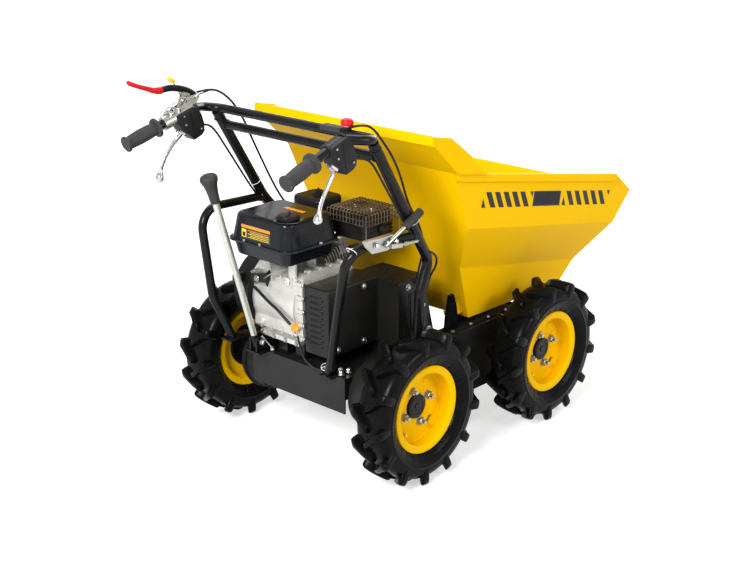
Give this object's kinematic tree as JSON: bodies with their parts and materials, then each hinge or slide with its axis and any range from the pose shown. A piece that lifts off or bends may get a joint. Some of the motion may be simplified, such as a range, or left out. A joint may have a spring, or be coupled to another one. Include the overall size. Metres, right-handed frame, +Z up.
{
  "type": "walk-behind site dumper",
  "caption": "Walk-behind mini site dumper: driven wheels with lugged tyres, forward-tipping skip, open petrol engine, handlebar with levers.",
  "frame": {"origin": "on the floor under the middle of the machine's length and width", "axes": "+X towards the skip's nose, +Y to the machine's left, +Z up"},
  "size_m": [1.4274, 0.771, 1.03],
  "materials": {
    "yellow_paint": "gloss",
    "black_paint": "satin",
    "tyre_rubber": "matte",
    "hub_black": "satin",
    "cast_aluminium": "cast",
    "tank_black": "gloss",
    "black_plastic": "satin",
    "muffler_steel": "matte",
    "black_rubber": "matte",
    "bright_steel": "polished",
    "grey_steel": "satin",
    "red_plastic": "gloss"
  },
  "bodies": {
    "root": {"air_cleaner": "black_plastic", "belt_cover": "black_plastic", "brace_left": "black_paint", "brace_right": "black_paint", "chain_case_left": "black_paint", "chain_case_right": "black_paint", "clutch_clamp": "bright_steel", "clutch_lever": "red_plastic", "control_cables": "black_rubber", "crankcase": "cast_aluminium", "cylinder": "cast_aluminium", "deck_plate": "black_paint", "drive_cover": "black_plastic", "engine_rails": "black_paint", "fan_housing": "black_plastic", "fuel_cap": "tank_black", "fuel_tank": "tank_black", "gear_gate": "black_paint", "gear_knob": "black_rubber", "gear_lever": "grey_steel", "gearbox": "black_paint", "grips": "black_rubber", "handlebar": "black_paint", "lever_housings": "black_plastic", "lower_bar": "black_paint", "main_frame": "black_paint", "muffler": "muffler_steel", "muffler_guard": "muffler_steel", "pivot_pin": "bright_steel", "release_lever": "bright_steel", "skip_latch": "black_paint", "steering_levers": "bright_steel", "stop_button": "red_plastic", "upright_left": "black_paint", "upright_right": "black_paint"},
    "wheel_front_left": {"tyre_front_left": "tyre_rubber", "rim_front_left": "yellow_paint", "hub_front_left": "hub_black"},
    "wheel_front_right": {"tyre_front_right": "tyre_rubber", "rim_front_right": "yellow_paint", "hub_front_right": "hub_black"},
    "wheel_rear_left": {"tyre_rear_left": "tyre_rubber", "rim_rear_left": "yellow_paint", "hub_rear_left": "hub_black"},
    "wheel_rear_right": {"tyre_rear_right": "tyre_rubber", "rim_rear_right": "yellow_paint", "hub_rear_right": "hub_black"},
    "skip": {"skip_back_guard": "yellow_paint", "skip_hinges": "black_paint", "skip_hook": "yellow_paint", "skip_tub": "yellow_paint"}
  },
  "joints": [
    {"name": "wheel_front_left_spin", "type": "hinge", "parent": "root", "child": "wheel_front_left", "pos_m": [0.24873, 0.3325, 0.205], "axis": [0, 1, 0], "continuous": true},
    {"name": "wheel_front_right_spin", "type": "hinge", "parent": "root", "child": "wheel_front_right", "pos_m": [0.24873, -0.3325, 0.205], "axis": [0, 1, 0], "continuous": true},
    {"name": "wheel_rear_left_spin", "type": "hinge", "parent": "root", "child": "wheel_rear_left", "pos_m": [-0.29727, 0.3325, 0.205], "axis": [0, 1, 0], "continuous": true},
    {"name": "wheel_rear_right_spin", "type": "hinge", "parent": "root", "child": "wheel_rear_right", "pos_m": [-0.29727, -0.3325, 0.205], "axis": [0, 1, 0], "continuous": true},
    {"name": "skip_tip", "type": "hinge", "parent": "root", "child": "skip", "pos_m": [0.42573, 0, 0.284], "axis": [0, 1, 0], "range_deg": [0, 80]}
  ]
}
